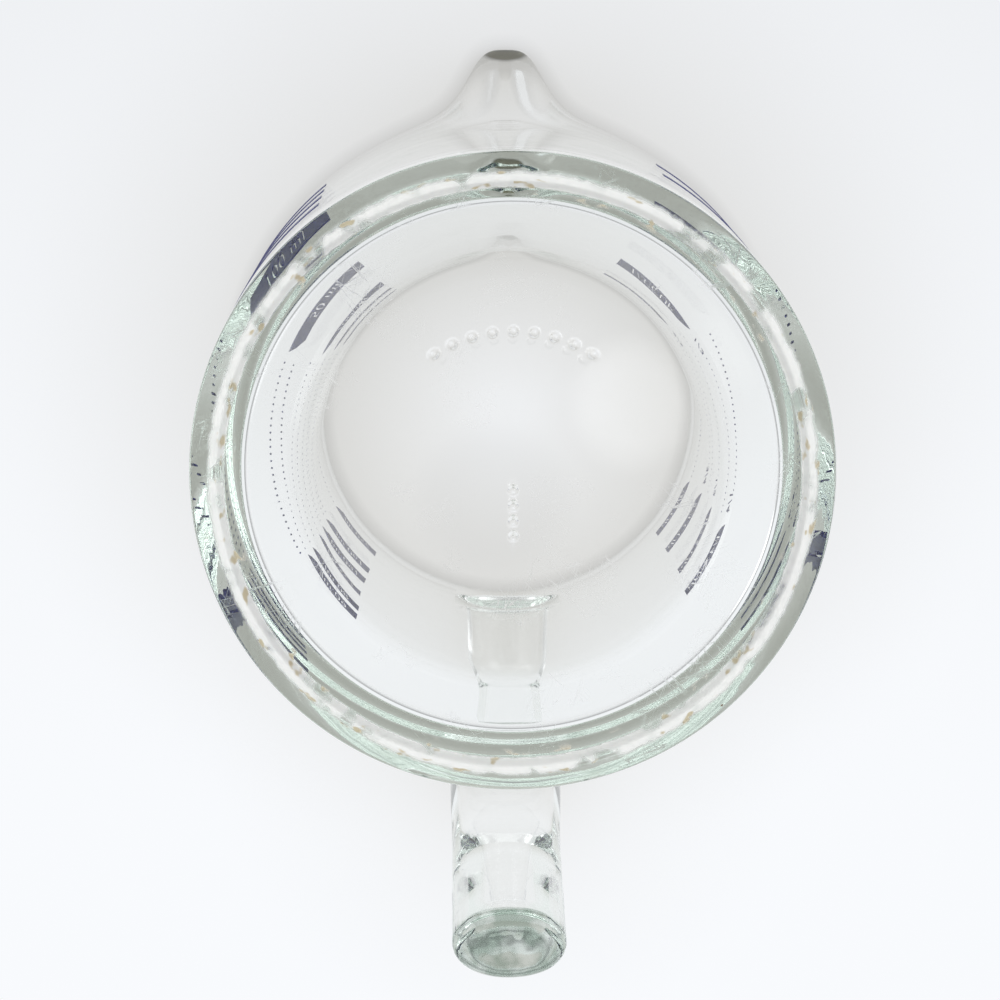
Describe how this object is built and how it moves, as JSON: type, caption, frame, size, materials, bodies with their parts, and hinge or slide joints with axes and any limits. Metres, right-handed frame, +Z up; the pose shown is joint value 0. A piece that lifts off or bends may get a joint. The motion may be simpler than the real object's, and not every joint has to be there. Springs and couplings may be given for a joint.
{
  "type": "measuring cup",
  "caption": "Clear pressed-glass measuring cup with a tapered round bowl, a drawn pouring lip opposite an open handle, and a printed volume scale on each side.",
  "frame": {"origin": "on the bowl's axis, at the plane that the foot ring rests on", "axes": "+Z up along the bowl's axis to the rim, +X from the axis to the handle, so the pouring lip is at -X; +Y is the millilitre side and -Y the cup-fraction side"},
  "size_m": [0.1251, 0.086, 0.088],
  "materials": {
    "pressed_glass": "fire-polished clear soda-lime glass",
    "navy_enamel": "fired-on ceramic enamel"
  },
  "bodies": {
    "root": {"foot": "pressed_glass", "bowl_wall": "pressed_glass", "pouring_spout": "pressed_glass", "handle": "pressed_glass", "base_pips": "pressed_glass", "mark_60_ml": "navy_enamel", "mark_80_ml": "navy_enamel", "mark_125_ml": "navy_enamel", "mark_160_ml": "navy_enamel", "mark_190_ml": "navy_enamel", "mark_250_ml": "navy_enamel", "mark_50_ml": "navy_enamel", "mark_100_ml": "navy_enamel", "mark_150_ml": "navy_enamel", "mark_200_ml": "navy_enamel", "mark_quarter_cup": "navy_enamel", "mark_third_cup": "navy_enamel", "mark_half_cup": "navy_enamel", "mark_two_thirds_cup": "navy_enamel", "mark_three_quarter_cup": "navy_enamel", "mark_full_cup": "navy_enamel"}
  },
  "joints": []
}
